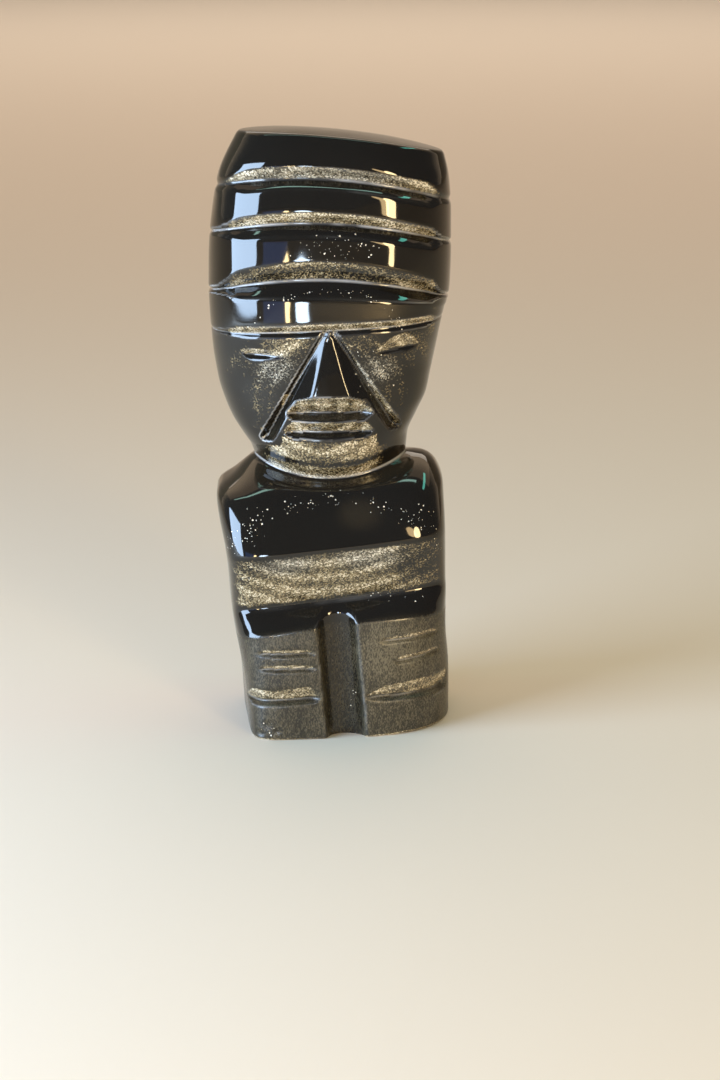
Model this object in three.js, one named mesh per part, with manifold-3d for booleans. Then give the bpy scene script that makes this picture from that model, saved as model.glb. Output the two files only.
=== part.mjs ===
// A seated idol ground with wheels out of one block of dark volcanic glass.
// Millimetres: +Z is up, the face looks along -Y, and the underside lies in the plane z = 0.
// The block is a stack of rounded level cuts. Wheel-cut grooves are pressed into it while it is lofted,
// the nose is added as a wedge, and the cuts of the face and the legs are taken out as solids.
import * as THREE from "three";
import { ConvexGeometry } from "three/addons/geometries/ConvexGeometry.js";
import { mergeVertices } from "three/addons/utils/BufferGeometryUtils.js";
import Module from "manifold-3d";

const wasm = await Module();
wasm.setup();

// Driving dimensions: heights on the line through the nose
const KNEES = 23.6; // upper edge of the legs
const WAIST = 27.5; // bottom of the cut between chest and legs
const RIDGE = 39.0; // lower edge of the chest
const NECK = 51.8; // bottom of the cut under the chin
const CHIN = 54.2; // lower edge of the chin
const BROW = 84.1; // lower edge of the headband, over the eyes
const CROWN = 120.1; // upper edge of the head

// Driving dimensions: the stone
const HALF_WIDTH = 24; // of the head at its widest
const WAIST_FRONT = 13.2; // front face behind the nose line, at the bottom of the waist cut
const RIDGE_FRONT = 18; // the same at the edge of the chest
const LEG_FRONT = 17.8; // the same at the knees
const BASE_FRONT = 18.5; // the same at the underside
const BASE_BEVEL = 0.7;

const DOME = 0.6; // share of the uppermost cut over which the top is flat

// Mesh density
const COLUMNS = 64;
const ROW_STEP = 4.2; // tallest step between two level cuts
const BENDS = [12, 43, 47, 50.2, 57.5]; // further level cuts, where the side outline bends
const GROOVE_STEPS = 9;
const TROUGH_SIDES = 20;
const WELD = 1e-4; // vertices closer than this are one

// The grooves across the head, from the top: upper edge, bottom and lower edge, and how deep they go in.
const GROOVES = [
  { upper: 114.1, valley: 112.0, lower: 110.1, depth: 2.0 },
  { upper: 105.5, valley: 103.6, lower: 101.2, depth: 2.0 },
  { upper: 96.1, valley: 92.6, lower: 89.2, depth: 2.6 },
  { upper: BROW, valley: 82.8, lower: 81.7, depth: 1.1 },
];

// A smooth curve through [height, value] pairs, read as a function of height.
// Each argument is one stretch, and two stretches meet in a crease.
function profile(...stretches) {
  const pieces = stretches.map((points) => {
    const slopes = points.slice(1).map(([h, v], i) => (v - points[i][1]) / (h - points[i][0]));
    const tangents = points.map((_, i) => {
      if (i === 0) return slopes[0];
      if (i === slopes.length) return slopes[i - 1];
      const [before, after] = [slopes[i - 1], slopes[i]];
      return before * after > 0 ? (2 * before * after) / (before + after) : 0;
    });
    return { points, tangents };
  });
  return (height) => {
    const piece = pieces.find(({ points }) => height <= points.at(-1)[0]) ?? pieces.at(-1);
    const { points, tangents } = piece;
    const after = points.findIndex(([h]) => height <= h);
    if (after === -1) return points.at(-1)[1];
    if (after === 0) return points[0][1];
    const [[h0, v0], [h1, v1]] = [points[after - 1], points[after]];
    const span = h1 - h0;
    const t = (height - h0) / span;
    const [m0, m1] = [tangents[after - 1] * span, tangents[after] * span];
    return (
      v0 * (2 * t ** 3 - 3 * t ** 2 + 1) +
      m0 * (t ** 3 - 2 * t ** 2 + t) +
      v1 * (3 * t ** 2 - 2 * t ** 3) +
      m1 * (t ** 3 - t ** 2)
    );
  };
}

// Outline seen from the front: half-widths to the left and to the right of the nose line.
const left = profile(
  [[0, 17.8], [10, 18.4], [22, 19.9], [27, 20.7], [RIDGE, 21.6], [46, 23.2], [48.2, 19.9], [NECK, 15.3]],
  [[NECK, 15.3], [54.4, 16.3], [55.8, 17.4], [59.7, 19.9], [64.2, 21.4], [69.3, 22.5], [79.6, 23.6],
    [93, 24.2], [103.3, 23.8], [109.2, 23.0], [113.6, 22.0], [CROWN, 17.9]],
);
const right = profile(
  [[0, 24.2], [10, 23.9], [17, 23.2], [24, 23.0], [RIDGE, 22.7], [46, 22.8], [48.7, 21.4], [50.5, 19.0],
    [NECK, 15.3]],
  [[NECK, 15.3], [56.6, 15.7], [60.6, 17.5], [64.9, 19.4], [69.9, 20.3], [79.3, 21.9], [85.5, 23.0],
    [95, 23.9], [101, 24.2], [110, 24.1], [116, 23.6], [CROWN, 22.4]],
);

// Outline seen from the side: the front face before the middle plane, and the back behind it.
const front = profile(
  [[0, BASE_FRONT], [KNEES, LEG_FRONT]],
  [[KNEES, LEG_FRONT], [WAIST, WAIST_FRONT]],
  [[WAIST, WAIST_FRONT], [RIDGE, RIDGE_FRONT]],
  [[RIDGE, RIDGE_FRONT], [43, 16.9], [47, 14.8], [50.5, 11.9], [NECK, 9.4]],
  [[NECK, 9.4], [CHIN, 11.7]],
  [[CHIN, 11.7], [57.5, 12.8], [61, 13.3], [66, 13.7], [72, 14.2], [81.7, 15.5]],
  [[81.7, 15.5], [BROW, 16.7], [92, 16.7], [100, 16.5], [108, 16.1], [114, 15.6], [116.3, 15.2],
    [CROWN, 13.3]],
);
const back = profile(
  [[0, 15.0], [20, 15.5], [RIDGE, 15.2], [46, 13.8], [50, 11.4], [53.5, 10.2], [58, 10.9], [64, 12.0],
    [76, 13.0], [92, 13.2], [105, 12.6], [113, 11.4], [CROWN, 8.5]],
);
const widest = profile([[0, 2], [46, 2], [NECK, 0], [60, 0.5], [93, 1.5], [112, 0.5], [CROWN, -1.5]]);

// How square the corners of a level cut are: 2 is an ellipse, 6 is nearly a box.
const cornerHead = [[NECK, 2.2], [60, 2.3], [72, 2.4], [BROW, 2.7], [114, 2.7], [CROWN, 2.4]];
const cornerFrontLeft = profile([
  [0, 9], [12, 6.5], [KNEES, 5.5], [WAIST, 7], [RIDGE, 7], [46, 4.5], ...cornerHead,
]);
const cornerFrontRight = profile([
  [0, 2.6], [12, 3.2], [KNEES, 4], [WAIST, 6], [RIDGE, 6], [46, 4], ...cornerHead,
]);
const cornerBack = profile([[0, 4], [RIDGE, 4], [46, 3], ...cornerHead]);

// The block is a little out of true: the lower body is turned, and the cuts slant and arch across the
// front and fall away to the back.
const turn = profile([[0, 0.11], [KNEES, 0.09], [RIDGE, 0.06], [48, 0.02], [CHIN, 0], [CROWN, 0]]);
const slant = profile([
  [0, 0], [6, 0.03], [KNEES, 0.11], [RIDGE, 0.1], [46, 0.03], [NECK, 0.01], [60, 0.02], [BROW, 0.05],
  [89, -0.02], [101, -0.035], [112, -0.055], [CROWN, -0.085],
]);
const arch = profile(
  [[0, 0], [12, 0], [KNEES, -1.5], [WAIST, 0], [RIDGE, 0]],
  [[RIDGE, 0], [46, 3.5], [48.5, 5.5], [NECK, 9.3]],
  [[NECK, 9.3], [56, 7.6], [60, 6.2], [66, 4], [72, 2.2], [78, 0.6], [BROW, -0.3], [89.2, -1.6],
    [92.6, -3.6], [96.1, -4.6], [101.2, -2.6], [105.5, -3.3], [112, -3.2], [CROWN, -2]],
);
const fall = profile([[0, 0], [BROW, 0.01], [92.6, 0.05], [103.6, 0.08], [112, 0.06], [CROWN, 0.02]]);

const FRONT = -Math.PI / 2; // direction of the face, counted from +X

// How a groove fades away from the front. A point faces the front by the cosine of its angle from it:
// across the front the groove gains ACROSS of its depth between edge and full, and the rest between BEHIND
// and BESIDE.
const ACROSS = 0.7;
const FADE_EDGE = 0.38;
const FADE_FULL = { left: 0.7, right: 0.54 };
const BEHIND = -0.5;
const BESIDE = 0.2;

// How far a groove reaches in at this height: deep across the front, faint round the sides, none behind.
function grooveDepth(height, angle) {
  const groove = GROOVES.find(({ lower, upper }) => height >= lower && height <= upper);
  if (!groove) return 0;
  const { upper, valley, lower, depth } = groove;
  const share = height > valley ? (upper - height) / (upper - valley) : (height - lower) / (valley - lower);
  const facing = Math.cos(angle - FRONT);
  const full = Math.cos(angle) < 0 ? FADE_FULL.left : FADE_FULL.right;
  const across = THREE.MathUtils.smoothstep(facing, FADE_EDGE, full);
  const round = THREE.MathUtils.smoothstep(facing, BEHIND, BESIDE);
  return depth * share * (ACROSS * across + (1 - ACROSS) * round);
}

// A point of the block's skin, or of the level cut shrunk by scale, or set in by an inset.
function skin(height, angle, { scale = 1, inset = 0 } = {}) {
  const [c, s] = [Math.cos(angle), Math.sin(angle)];
  const middle = widest(height);
  const half = c < 0 ? left(height) : right(height);
  const reach = s < 0 ? front(height) + middle : back(height) - middle;
  const corner = s > 0 ? cornerBack(height) : c < 0 ? cornerFrontLeft(height) : cornerFrontRight(height);
  const edge = (Math.abs(c / half) ** corner + Math.abs(s / reach) ** corner) ** (-1 / corner);
  const radius = (edge - grooveDepth(height, angle) - inset) * scale;
  const x = radius * (c - turn(height) * s);
  const y = middle + radius * (s + turn(height) * c);
  const lift = slant(height) * x + arch(height) * (x / HALF_WIDTH) ** 2 - fall(height) * (y + front(height));
  return new THREE.Vector3(x, y, height + lift);
}

// The point of the front skin at x and z, with the level direction that looks straight out of it.
// The angle is found by halving the range that holds it.
const HALVINGS = 40;
const ANGLE_STEP = 0.02;
function frontSkin(x, z) {
  const height = z - slant(z) * x - arch(z) * (x / HALF_WIDTH) ** 2;
  let [low, high] = [FRONT - Math.PI / 2, FRONT + Math.PI / 2];
  for (let k = 0; k < HALVINGS; k++) {
    const angle = (low + high) / 2;
    if (skin(height, angle).x < x) low = angle;
    else high = angle;
  }
  const point = skin(height, low);
  const along = skin(height, low + ANGLE_STEP).sub(skin(height, low - ANGLE_STEP));
  return { point: point.setZ(z), out: new THREE.Vector3(along.y, -along.x, 0).normalize() };
}

// Heights of the level cuts: every crease and groove edge, with even steps in between.
function levels() {
  const edges = [BASE_BEVEL, KNEES, WAIST, RIDGE, NECK, CHIN, CROWN, ...BENDS];
  for (const { upper, valley, lower } of GROOVES) edges.push(upper, valley, lower);
  edges.sort((a, b) => a - b);
  const heights = [edges[0]];
  for (let i = 1; i < edges.length; i++) {
    const steps = Math.ceil((edges[i] - edges[i - 1]) / ROW_STEP);
    for (let k = 1; k <= steps; k++) heights.push(THREE.MathUtils.lerp(edges[i - 1], edges[i], k / steps));
  }
  return heights;
}

// A closed three.js mesh as a solid.
function solid(geometry) {
  const bare = geometry.clone();
  bare.deleteAttribute("normal");
  bare.deleteAttribute("uv");
  const merged = mergeVertices(bare, WELD);
  return new wasm.Manifold(
    new wasm.Mesh({
      numProp: 3,
      vertProperties: new Float32Array(merged.attributes.position.array),
      triVerts: new Uint32Array(merged.index.array),
    }),
  );
}

// The whole block, from the underside to the domed top.
function block() {
  const rings = [
    { height: 0, inset: BASE_BEVEL },
    ...levels().map((height) => ({ height })),
    { height: CROWN, scale: DOME },
  ];
  const vertices = [];
  for (const { height, ...shrink } of rings)
    for (let k = 0; k < COLUMNS; k++) {
      const angle = FRONT + (k / COLUMNS) * 2 * Math.PI;
      vertices.push(...skin(height, angle, shrink).toArray());
    }
  const indices = [];
  for (let r = 0; r + 1 < rings.length; r++)
    for (let k = 0; k < COLUMNS; k++) {
      const [a, b] = [r * COLUMNS + k, r * COLUMNS + ((k + 1) % COLUMNS)];
      const [c, d] = [a + COLUMNS, b + COLUMNS];
      indices.push(a, b, d, a, d, c);
    }
  const [under, over] = [vertices.length / 3, vertices.length / 3 + 1];
  vertices.push(...skin(0, FRONT, { scale: 0 }).toArray(), ...skin(CROWN, FRONT, { scale: 0 }).toArray());
  const last = (rings.length - 1) * COLUMNS;
  for (let k = 0; k < COLUMNS; k++) {
    const next = (k + 1) % COLUMNS;
    indices.push(under, next, k, over, last + k, last + next);
  }
  const geometry = new THREE.BufferGeometry();
  geometry.setAttribute("position", new THREE.Float32BufferAttribute(vertices, 3));
  geometry.setIndex(indices);
  return solid(geometry);
}

// A solid with flat faces round the given corners.
function faceted(...corners) {
  return solid(new ConvexGeometry(corners.map((corner) => new THREE.Vector3(...corner))));
}

// The nose: a wedge that starts flush under the brow and stands proud over the mouth.
const NOSE = {
  top: 82, base: 69.3, under: 66.1, halfWidth: 7.1,
  tip: 16.4, wing: 16.2, root: 15.3, inside: 8,
};
function nose() {
  const { top, base, under, halfWidth, tip, wing, root, inside } = NOSE;
  return faceted(
    [0, -root, top],
    [0, -inside, top],
    [-halfWidth, -wing, base],
    [0, -tip, base],
    [halfWidth, -wing, base],
    [-halfWidth, -inside, under],
    [halfWidth, -inside, under],
  );
}

// A V groove pressed into the front skin along a straight run from one [x, z] to another, from left to
// right. depth, above and below are [at the start, at the end]: how far the V goes in, and how far its two
// walls reach up and down from its bottom. ends is the share of the run over which it runs out.
const RISE = 3.5; // how far a cutter stands out of the skin
const BLUNT = 0.001; // keeps the very end of a cutter from closing to a point
function groove({ from, to, depth, above, below, ends = [0.15, 0.15] }) {
  const { lerp, smoothstep } = THREE.MathUtils;
  const run = new THREE.Vector3(to[0] - from[0], 0, to[1] - from[1]).normalize();
  const vertices = [];
  for (let k = 0; k <= GROOVE_STEPS; k++) {
    const t = k / GROOVE_STEPS;
    const full = Math.sqrt(Math.min(smoothstep(t, -BLUNT, ends[0]), smoothstep(1 - t, -BLUNT, ends[1])));
    const { point, out } = frontSkin(lerp(from[0], to[0], t), lerp(from[1], to[1], t));
    const across = new THREE.Vector3().crossVectors(out, run).normalize();
    const inward = lerp(...depth, t) * full;
    const spread = (inward + RISE) / lerp(...depth, t);
    const outside = point.clone().addScaledVector(out, RISE);
    vertices.push(
      ...point.clone().addScaledVector(out, -inward).toArray(),
      ...outside.clone().addScaledVector(across, lerp(...above, t) * spread).toArray(),
      ...outside.clone().addScaledVector(across, -lerp(...below, t) * spread).toArray(),
    );
  }
  const indices = [0, 2, 1];
  for (let k = 0; k < GROOVE_STEPS; k++)
    for (let side = 0; side < 3; side++) {
      const [a, b] = [3 * k + side, 3 * k + ((side + 1) % 3)];
      indices.push(a, b, b + 3, a, b + 3, a + 3);
    }
  const last = 3 * GROOVE_STEPS;
  indices.push(last, last + 1, last + 2);
  const geometry = new THREE.BufferGeometry();
  geometry.setAttribute("position", new THREE.Float32BufferAttribute(vertices, 3));
  geometry.setIndex(indices);
  return solid(geometry);
}

// The two cuts that free the nose and run down the cheeks, steep on the cheek and sloping on the nose
const NOSE_CUTS = [
  {
    from: [-13.8, 59.9], to: [-0.9, 82.4],
    depth: [2.1, 0.7], above: [0.5, 0.25], below: [3.0, 0.8], ends: [0.06, 0],
  },
  {
    from: [0.9, 82.4], to: [14.2, 62.2],
    depth: [0.7, 2.1], above: [0.25, 0.5], below: [0.8, 3.0], ends: [0, 0.06],
  },
];

// The mouth: one groove over each lip
const MOUTH = [
  { from: [-8.9, 65.7], to: [8.7, 65.9], depth: [2.3, 2.3], above: [1.7, 1.7], below: [1.5, 1.5] },
  { from: [-9.2, 61.9], to: [8.8, 62.1], depth: [1.5, 1.5], above: [1.9, 1.9], below: [1.4, 1.4] },
];

// The slits of the eyes
const EYES = [
  {
    from: [-17.4, 77.9], to: [-8.0, 77.5],
    depth: [1.2, 0.6], above: [0.6, 0.5], below: [2.2, 1.0], ends: [0.3, 0.6],
  },
  {
    from: [8.8, 78.0], to: [17.4, 79.2],
    depth: [0.6, 1.0], above: [1.3, 2.0], below: [0.6, 0.8], ends: [0.6, 0.35],
  },
];

// Three lines on each leg, from the top
const LEG_LINES = [
  { from: [-14.6, 17.8], to: [-2.6, 18.0], depth: [0.6, 0.6], above: [0.9, 0.9], below: [0.6, 0.6] },
  { from: [-14.2, 14.7], to: [-2.6, 14.8], depth: [0.6, 0.6], above: [0.9, 0.9], below: [0.6, 0.6] },
  { from: [-17.0, 7.6], to: [-1.8, 8.5], depth: [1.4, 1.2], above: [3.0, 3.2], below: [0.7, 0.7] },
  { from: [10.0, 20.0], to: [22.0, 20.6], depth: [0.6, 0.6], above: [0.9, 0.9], below: [0.6, 0.6] },
  { from: [13.0, 15.6], to: [22.3, 16.6], depth: [0.6, 0.7], above: [0.9, 0.9], below: [0.6, 0.6] },
  {
    from: [6.6, 8.4], to: [23.9, 8.0],
    depth: [0.9, 1.5], above: [2.6, 3.2], below: [0.8, 0.8], ends: [0.3, 0.02],
  },
];

// The trough between the legs, open at the underside.
const TROUGH = { top: [1.2, 27], foot: [3.5, -1], halfWidth: 3.8, depth: 3.1, axis: LEG_FRONT + 0.2 };
function trough() {
  const { top, foot, halfWidth, depth, axis } = TROUGH;
  const run = new THREE.Vector2(top[0] - foot[0], top[1] - foot[1]);
  const bar = new THREE.CylinderGeometry(1, 1, run.length(), TROUGH_SIDES);
  bar.scale(halfWidth, 1, depth);
  bar.rotateX(Math.PI / 2);
  bar.rotateY(Math.atan2(run.x, run.y));
  bar.translate((top[0] + foot[0]) / 2, -axis, (top[1] + foot[1]) / 2);
  return solid(bar);
}

// The cut stone
function figure() {
  const grooves = [...NOSE_CUTS, ...MOUTH, ...EYES, ...LEG_LINES];
  const cuts = [...grooves.map(groove), trough()];
  return cuts.reduce((stone, cut) => stone.subtract(cut), block().add(nose()));
}

// A solid as a three.js geometry with flat faces.
function geometryOf(stone) {
  const mesh = stone.getMesh();
  const geometry = new THREE.BufferGeometry();
  geometry.setAttribute("position", new THREE.BufferAttribute(new Float32Array(mesh.vertProperties), 3));
  geometry.setIndex(new THREE.BufferAttribute(new Uint32Array(mesh.triVerts), 1));
  geometry.computeVertexNormals();
  return geometry;
}

const obsidian = new THREE.MeshStandardMaterial({ color: 0x15120e, roughness: 0.12, metalness: 0 });
const stoneFigure = new THREE.Mesh(geometryOf(figure()), obsidian);
stoneFigure.name = "stone_figure";

// The origin is the middle of the box on the underside.
stoneFigure.geometry.computeBoundingBox();
const middle = stoneFigure.geometry.boundingBox.getCenter(new THREE.Vector3());
stoneFigure.position.set(-middle.x, -middle.y, 0);

const group = new THREE.Group();
group.add(stoneFigure);

export default group;
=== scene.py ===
"""Dresses a small idol ground with wheels out of one block of dark volcanic glass.

The stone is one closed mesh. It follows the block's own rules: level cuts stacked from the underside to the
crown, grooves ground into the skin, a wedge for the nose and a trough between the legs. All sizes of the stone
are millimetres in the stone's own axes: +Z is up and the face looks along -Y.
"""

import logging
import math
from dataclasses import dataclass, field
from enum import Enum
from typing import Iterable, Sequence

import bpy
import numpy as np
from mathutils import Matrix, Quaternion, Vector


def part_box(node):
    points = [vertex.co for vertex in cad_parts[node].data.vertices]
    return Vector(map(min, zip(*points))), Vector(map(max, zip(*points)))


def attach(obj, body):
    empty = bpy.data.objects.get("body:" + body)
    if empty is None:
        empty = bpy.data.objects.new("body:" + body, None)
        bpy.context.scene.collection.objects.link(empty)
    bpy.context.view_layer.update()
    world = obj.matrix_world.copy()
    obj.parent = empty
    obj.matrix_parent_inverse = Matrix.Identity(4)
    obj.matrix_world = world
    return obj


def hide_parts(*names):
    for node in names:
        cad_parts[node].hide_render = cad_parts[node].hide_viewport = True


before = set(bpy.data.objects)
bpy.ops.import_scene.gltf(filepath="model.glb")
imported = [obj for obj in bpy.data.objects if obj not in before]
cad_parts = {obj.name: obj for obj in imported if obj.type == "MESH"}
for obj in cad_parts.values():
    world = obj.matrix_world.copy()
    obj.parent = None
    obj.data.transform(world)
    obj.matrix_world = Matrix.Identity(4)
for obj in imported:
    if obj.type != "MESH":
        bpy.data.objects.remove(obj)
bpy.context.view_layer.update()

log = logging.getLogger("stone_figure")

MM = 0.001
NODE = "stone_figure"

# Driving dimensions: heights on the line through the nose
KNEES = 23.6
WAIST = 27.5
RIDGE = 39.0
NECK = 51.8
CHIN = 54.2
BROW = 84.1
CROWN = 120.1

# Driving dimensions: the stone
HALF_WIDTH = 24.0
WAIST_FRONT = 13.2
RIDGE_FRONT = 18.0
LEG_FRONT = 17.8
BASE_FRONT = 18.5

FRONT = -math.pi / 2  # direction of the face, counted from +X

Pair = tuple[float, float]
Colour = tuple[float, float, float]


class Zone(Enum):
    """The mesh attributes that say where each finish of the stone lies, and where sheen, reflections, highlights and
    shade are painted.
    """

    SHEEN = "sheen"
    SATIN = "satin"
    # Painted reflections and a faint painted sheen.
    HAZE = "haze"
    FLECKS = "flecks"
    SILVER = "silver"
    # Painted highlights along the edges and creases.
    GLINT = "glint"


class LampShape(Enum):
    """The outlines a lamp may have."""

    PANEL = "RECTANGLE"
    GLOBE = "ELLIPSE"


def smoothstep(value: np.ndarray, low: float, high: float) -> np.ndarray:
    """Rise smoothly from 0 at low to 1 at high.

    Args:
        value: The numbers to map.
        low: Where the rise starts.
        high: Where the rise ends.

    Returns:
        The share of the rise that each number has reached.
    """
    share = np.clip((value - low) / (high - low), 0.0, 1.0)
    return share * share * (3.0 - 2.0 * share)


@dataclass(frozen=True)
class Spot:
    """A soft oval spot on the front.

    Attributes:
        centre: Its middle, across and up.
        radii: Its half-width and half-height.
        share: Its strength in the middle.
    """

    centre: Pair
    radii: Pair
    share: float

    def __call__(self, x: np.ndarray, z: np.ndarray) -> np.ndarray:
        """Give the spot's strength at places across the front and heights."""
        distance = np.hypot((x - self.centre[0]) / self.radii[0], (z - self.centre[1]) / self.radii[1])
        return self.share * (1.0 - smoothstep(distance, 0.25, 1.0))


@dataclass(frozen=True)
class Arc:
    """A soft arch on the front: the upper half of an oval line.

    Attributes:
        centre: The oval's middle, across and up.
        radii: Its half-width and half-height.
        width: The line's softness, as a share of the radii.
        share: Its strength.
    """

    centre: Pair
    radii: Pair
    width: float
    share: float

    def __call__(self, x: np.ndarray, z: np.ndarray) -> np.ndarray:
        """Give the arch's strength at places across the front and heights."""
        distance = np.hypot((x - self.centre[0]) / self.radii[0], (z - self.centre[1]) / self.radii[1])
        line = np.exp(-(((distance - 1.0) / self.width) ** 2))
        return self.share * line * smoothstep(z, self.centre[1], self.centre[1] + 0.3 * self.radii[1])


@dataclass(frozen=True)
class Profile:
    """A smooth curve through height and value pairs, in stretches that meet in a crease.

    Attributes:
        stretches: For each stretch, its pairs from the lowest height to the highest.
    """

    stretches: tuple[tuple[Pair, ...], ...]

    @classmethod
    def through(cls, *stretches: Sequence[Pair]) -> "Profile":
        """Make a profile from its stretches, given from the lowest to the highest."""
        return cls(tuple(tuple(points) for points in stretches))

    @staticmethod
    def _tangents(heights: np.ndarray, values: np.ndarray) -> np.ndarray:
        """Find slopes at the pairs that keep the curve from swinging past them."""
        slopes = np.diff(values) / np.diff(heights)
        before, after = slopes[:-1], slopes[1:]
        product = before * after
        total = np.where(product > 0, before + after, 1.0)
        inner = np.where(product > 0, 2.0 * product / total, 0.0)
        return np.concatenate([slopes[:1], inner, slopes[-1:]])

    def __call__(self, height: np.ndarray) -> np.ndarray:
        """Read the curve.

        Args:
            height: Heights of any shape.

        Returns:
            The value at each height; beyond the ends, the value at that end.
        """
        height = np.asarray(height, float)
        result = np.zeros_like(height)
        left = np.ones(height.shape, bool)
        for points in self.stretches:
            heights, values = np.array(points, float).T
            here = left & (height <= heights[-1])
            if points is self.stretches[-1]:
                here = left
            left = left & ~here
            level = np.clip(height[here], heights[0], heights[-1])
            upper = np.clip(np.searchsorted(heights, level), 1, len(heights) - 1)
            span = heights[upper] - heights[upper - 1]
            share = (level - heights[upper - 1]) / span
            tangents = self._tangents(heights, values)
            result[here] = (
                values[upper - 1] * (2 * share**3 - 3 * share**2 + 1)
                + tangents[upper - 1] * span * (share**3 - 2 * share**2 + share)
                + values[upper] * (3 * share**2 - 2 * share**3)
                + tangents[upper] * span * (share**3 - share**2)
            )
        return result


@dataclass(frozen=True)
class BandGroove:
    """One groove across the head: the heights of its edges and of its bottom, and how deep it goes."""

    upper: float
    valley: float
    lower: float
    depth: float

    def share(self, height: np.ndarray) -> np.ndarray:
        """Give the share of its depth that the groove has at each height."""
        above = (self.upper - height) / (self.upper - self.valley)
        below = (height - self.lower) / (self.valley - self.lower)
        return np.maximum(np.minimum(above, below), 0.0)


CORNER_HEAD = ((NECK, 2.2), (60, 2.3), (72, 2.4), (BROW, 2.7), (114, 2.7), (CROWN, 2.4))


@dataclass(frozen=True)
class Block:
    """The rough block: a stack of rounded level cuts with the headband's grooves in it.

    Attributes:
        left: Half-width to the left of the nose line, by height.
        right: Half-width to the right of it.
        front: How far the front stands before the middle plane.
        back: How far the back stands behind it.
        widest: Where a level cut is widest.
        corner_left: How square the front left corner is: 2 is an ellipse, 6 is nearly a box.
        corner_right: The same for the front right corner.
        corner_back: The same for both corners of the back.
        turn: How far a level cut is turned about the vertical.
        slant: How much a level cut rises to the right.
        arch: How much it rises towards both sides.
        fall: How much it falls away to the back.
        grooves: The grooves of the headband, from the top.
        across: The share of a groove's depth that only the front has.
    """

    left: Profile = Profile.through(
        [(0, 17.8), (10, 18.4), (22, 19.9), (27, 20.7), (RIDGE, 21.6), (46, 23.2), (48.2, 19.9), (NECK, 15.3)],
        [(NECK, 15.3), (54.4, 16.3), (55.8, 17.4), (59.7, 19.9), (64.2, 21.4), (69.3, 22.5), (79.6, 23.6),
         (93, 24.2), (103.3, 23.8), (109.2, 23.0), (113.6, 22.0), (CROWN, 17.9)],
    )
    right: Profile = Profile.through(
        [(0, 24.2), (10, 23.9), (17, 23.2), (24, 23.0), (RIDGE, 22.7), (46, 22.8), (48.7, 21.4), (50.5, 19.0),
         (NECK, 15.3)],
        [(NECK, 15.3), (56.6, 15.7), (60.6, 17.5), (64.9, 19.4), (69.9, 20.3), (79.3, 21.9), (85.5, 23.0),
         (95, 23.9), (101, 24.2), (110, 24.1), (116, 23.6), (CROWN, 22.4)],
    )
    front: Profile = Profile.through(
        [(0, BASE_FRONT), (KNEES, LEG_FRONT)],
        [(KNEES, LEG_FRONT), (WAIST, WAIST_FRONT)],
        [(WAIST, WAIST_FRONT), (RIDGE, RIDGE_FRONT)],
        [(RIDGE, RIDGE_FRONT), (43, 16.9), (47, 14.8), (50.5, 11.9), (NECK, 9.4)],
        [(NECK, 9.4), (CHIN, 11.7)],
        [(CHIN, 11.7), (57.5, 12.8), (61, 13.3), (66, 13.7), (72, 14.2), (81.7, 15.5)],
        [(81.7, 15.5), (BROW, 16.7), (92, 16.7), (100, 16.5), (108, 16.1), (114, 15.6), (116.3, 15.2),
         (CROWN, 13.3)],
    )
    back: Profile = Profile.through(
        [(0, 15.0), (20, 15.5), (RIDGE, 15.2), (46, 13.8), (50, 11.4), (53.5, 10.2), (58, 10.9), (64, 12.0),
         (76, 13.0), (92, 13.2), (105, 12.6), (113, 11.4), (CROWN, 8.5)],
    )
    widest: Profile = Profile.through(
        [(0, 2), (46, 2), (NECK, 0), (60, 0.5), (93, 1.5), (112, 0.5), (CROWN, -1.5)],
    )
    corner_left: Profile = Profile.through(
        [(0, 9), (12, 6.5), (KNEES, 5.5), (WAIST, 7), (RIDGE, 7), (46, 4.5), *CORNER_HEAD],
    )
    corner_right: Profile = Profile.through(
        [(0, 2.6), (12, 3.2), (KNEES, 4), (WAIST, 6), (RIDGE, 6), (46, 4), *CORNER_HEAD],
    )
    corner_back: Profile = Profile.through([(0, 4), (RIDGE, 4), (46, 3), *CORNER_HEAD])
    turn: Profile = Profile.through(
        [(0, 0.11), (KNEES, 0.09), (RIDGE, 0.06), (48, 0.02), (CHIN, 0), (CROWN, 0)],
    )
    slant: Profile = Profile.through(
        [(0, 0), (6, 0.03), (KNEES, 0.11), (RIDGE, 0.1), (46, 0.03), (NECK, 0.01), (60, 0.02), (BROW, 0.05),
         (89, -0.02), (101, -0.035), (112, -0.055), (CROWN, -0.085)],
    )
    arch: Profile = Profile.through(
        [(0, 0), (12, 0), (KNEES, -1.5), (WAIST, 0), (RIDGE, 0)],
        [(RIDGE, 0), (46, 3.5), (48.5, 5.5), (NECK, 9.3)],
        [(NECK, 9.3), (56, 7.6), (60, 6.2), (66, 4), (72, 2.2), (78, 0.6), (BROW, -0.3), (89.2, -1.6),
         (92.6, -3.6), (96.1, -4.6), (101.2, -2.6), (105.5, -3.3), (112, -3.2), (CROWN, -2)],
    )
    fall: Profile = Profile.through(
        [(0, 0), (BROW, 0.01), (92.6, 0.05), (103.6, 0.08), (112, 0.06), (CROWN, 0.02)],
    )
    grooves: tuple[BandGroove, ...] = (
        BandGroove(upper=114.1, valley=112.0, lower=110.1, depth=2.0),
        BandGroove(upper=105.5, valley=103.6, lower=101.2, depth=2.0),
        BandGroove(upper=96.1, valley=92.6, lower=89.2, depth=2.6),
        BandGroove(upper=BROW, valley=82.8, lower=81.7, depth=1.1),
    )
    across: float = 0.7
    fade_edge: float = 0.38
    fade_full: Pair = (0.7, 0.54)
    behind: float = -0.5
    beside: float = 0.2

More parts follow.
